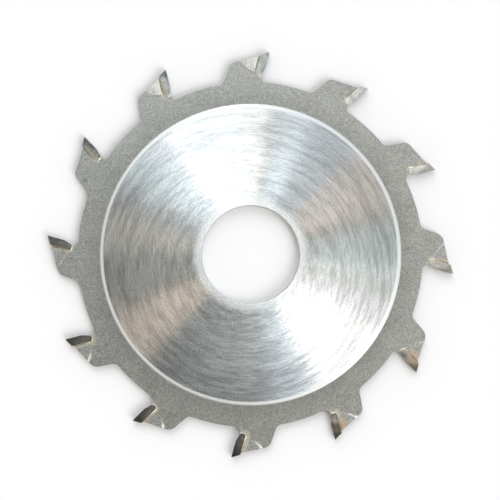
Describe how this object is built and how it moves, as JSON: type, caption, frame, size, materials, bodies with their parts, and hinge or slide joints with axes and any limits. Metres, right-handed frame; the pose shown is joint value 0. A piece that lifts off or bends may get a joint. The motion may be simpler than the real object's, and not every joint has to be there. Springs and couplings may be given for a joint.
{
  "type": "grooving saw blade",
  "caption": "Circular grooving saw blade: a toothed steel disc with a raised ground hub, a plain central bore and hooked teeth with brazed carbide tips.",
  "frame": {"origin": "on the bore's axis, at the lower hub face, which is the bottom centre of the bounding box", "axes": "+Z along the bore's axis, up from the lower hub face; +Y through the first tooth's cutting edge; the teeth point clockwise as seen from +Z"},
  "size_m": [0.125, 0.125, 0.0032],
  "materials": {
    "ground_steel": "hub ground in circles, bright bevel, matte blasted rim",
    "carbide": "ground, semi-bright",
    "braze": "smooth, as it set"
  },
  "bodies": {
    "root": {"blade_body": "ground_steel", "carbide_tip_01": "carbide", "carbide_tip_02": "carbide", "carbide_tip_03": "carbide", "carbide_tip_04": "carbide", "carbide_tip_05": "carbide", "carbide_tip_06": "carbide", "carbide_tip_07": "carbide", "carbide_tip_08": "carbide", "carbide_tip_09": "carbide", "carbide_tip_10": "carbide", "carbide_tip_11": "carbide", "carbide_tip_12": "carbide", "braze_seam_01": "braze", "braze_seam_02": "braze", "braze_seam_03": "braze", "braze_seam_04": "braze", "braze_seam_05": "braze", "braze_seam_06": "braze", "braze_seam_07": "braze", "braze_seam_08": "braze", "braze_seam_09": "braze", "braze_seam_10": "braze", "braze_seam_11": "braze", "braze_seam_12": "braze"}
  },
  "joints": []
}
